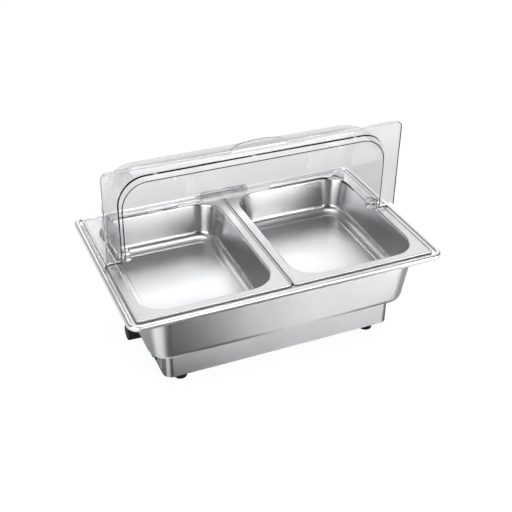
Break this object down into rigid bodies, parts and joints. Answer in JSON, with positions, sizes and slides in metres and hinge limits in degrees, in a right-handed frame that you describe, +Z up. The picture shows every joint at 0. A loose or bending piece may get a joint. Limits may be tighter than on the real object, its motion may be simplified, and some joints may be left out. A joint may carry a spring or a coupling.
{
  "type": "electric chafing dish",
  "caption": "Countertop food warmer: heated water pan on a stainless base, half-size food pans side by side, and a clear roll-top cover whose front rolls back over its rear.",
  "frame": {"origin": "on the table, under the middle of the whole dish as it stands with its cover open", "axes": "+Z up, +X along the long side away from the control end, -Y towards the person served"},
  "size_m": [0.554, 0.352, 0.3676],
  "materials": {
    "stainless_body": "satin drawn stainless sheet",
    "stainless_pan": "bright drawn stainless sheet",
    "stainless_sheet": "mill finish sheet",
    "clear_cover": "clear moulded polycarbonate",
    "hinge_steel": "turned stainless",
    "washer_nylon": "natural nylon",
    "rubber_foot": "moulded black rubber",
    "fastener_steel": "zinc plated",
    "aluminium_plate": "satin aluminium",
    "element_sheath": "dark oxidised sheath",
    "mineral_board": "pressed mineral board",
    "copper_tube": "drawn copper",
    "brass": "turned brass",
    "black_plastic": "moulded black",
    "grey_plastic": "moulded heat-proof resin",
    "green_rocker": "tinted lens",
    "wire_brown": "silicone insulation",
    "wire_blue": "silicone insulation",
    "wire_green": "silicone insulation"
  },
  "bodies": {
    "base": {"base_housing": "stainless_body", "bottom_plate": "stainless_sheet", "bottom_screws": "fastener_steel", "bulb_clip": "stainless_sheet", "capillary_tube": "copper_tube", "control_plate": "aluminium_plate", "cord_gland": "black_plastic", "earth_nut": "brass", "earth_stud": "brass", "earth_wire": "wire_green", "element_terminals": "fastener_steel", "element_wire": "wire_brown", "foot_front_left": "rubber_foot", "foot_front_right": "rubber_foot", "foot_nuts": "fastener_steel", "foot_rear_left": "rubber_foot", "foot_rear_right": "rubber_foot", "foot_screws": "fastener_steel", "gland_nut": "black_plastic", "heat_spreader": "aluminium_plate", "heating_element": "element_sheath", "insulation_pad": "mineral_board", "live_wire": "wire_brown", "neutral_wire": "wire_blue", "pan_nuts": "fastener_steel", "press_nuts": "fastener_steel", "press_plate": "stainless_sheet", "switch_housing": "black_plastic", "switch_wire": "wire_brown", "terminal_block": "grey_plastic", "terminal_screws": "fastener_steel", "thermal_cutout": "grey_plastic", "thermostat_body": "grey_plastic", "thermostat_bulb": "copper_tube", "thermostat_nut": "fastener_steel", "water_pan": "stainless_body"},
    "rear_cover": {"rear_cover": "clear_cover", "hinge_pin_left": "hinge_steel", "hinge_pin_right": "hinge_steel", "hinge_washer_left": "washer_nylon", "hinge_washer_right": "washer_nylon", "hinge_knob_left": "clear_cover", "hinge_knob_right": "clear_cover"},
    "front_cover": {"front_cover": "clear_cover"},
    "pan_left": {"food_pan_left": "stainless_pan"},
    "pan_right": {"food_pan_right": "stainless_pan"},
    "knob": {"thermostat_knob": "black_plastic", "thermostat_shaft": "fastener_steel"},
    "rocker": {"switch_rocker": "green_rocker"}
  },
  "joints": [
    {"name": "cover_lift", "type": "slide", "parent": "base", "child": "rear_cover", "axis": [0, 0, 1], "range_m": [0, 0.3]},
    {"name": "cover_hinge", "type": "hinge", "parent": "rear_cover", "child": "front_cover", "pos_m": [0, 0, 0.192], "axis": [1, 0, 0], "range_deg": [0, 90]},
    {"name": "pan_left_lift", "type": "slide", "parent": "base", "child": "pan_left", "axis": [0, 0, 1], "range_m": [0, 0.12]},
    {"name": "pan_right_lift", "type": "slide", "parent": "base", "child": "pan_right", "axis": [0, 0, 1], "range_m": [0, 0.12]},
    {"name": "thermostat_turn", "type": "hinge", "parent": "base", "child": "knob", "pos_m": [-0.223, -0.009, 0.041], "axis": [1, 0, 0], "range_deg": [0, 270]},
    {"name": "switch_rock", "type": "hinge", "parent": "base", "child": "rocker", "pos_m": [-0.21006, -0.077, 0.041], "axis": [0, 1, 0], "range_deg": [-14, 0]}
  ],
  "couplings": [
    {"joint": "pan_left_lift", "follows": "cover_lift", "ratio": 0.4},
    {"joint": "pan_right_lift", "follows": "cover_lift", "ratio": 0.4}
  ]
}
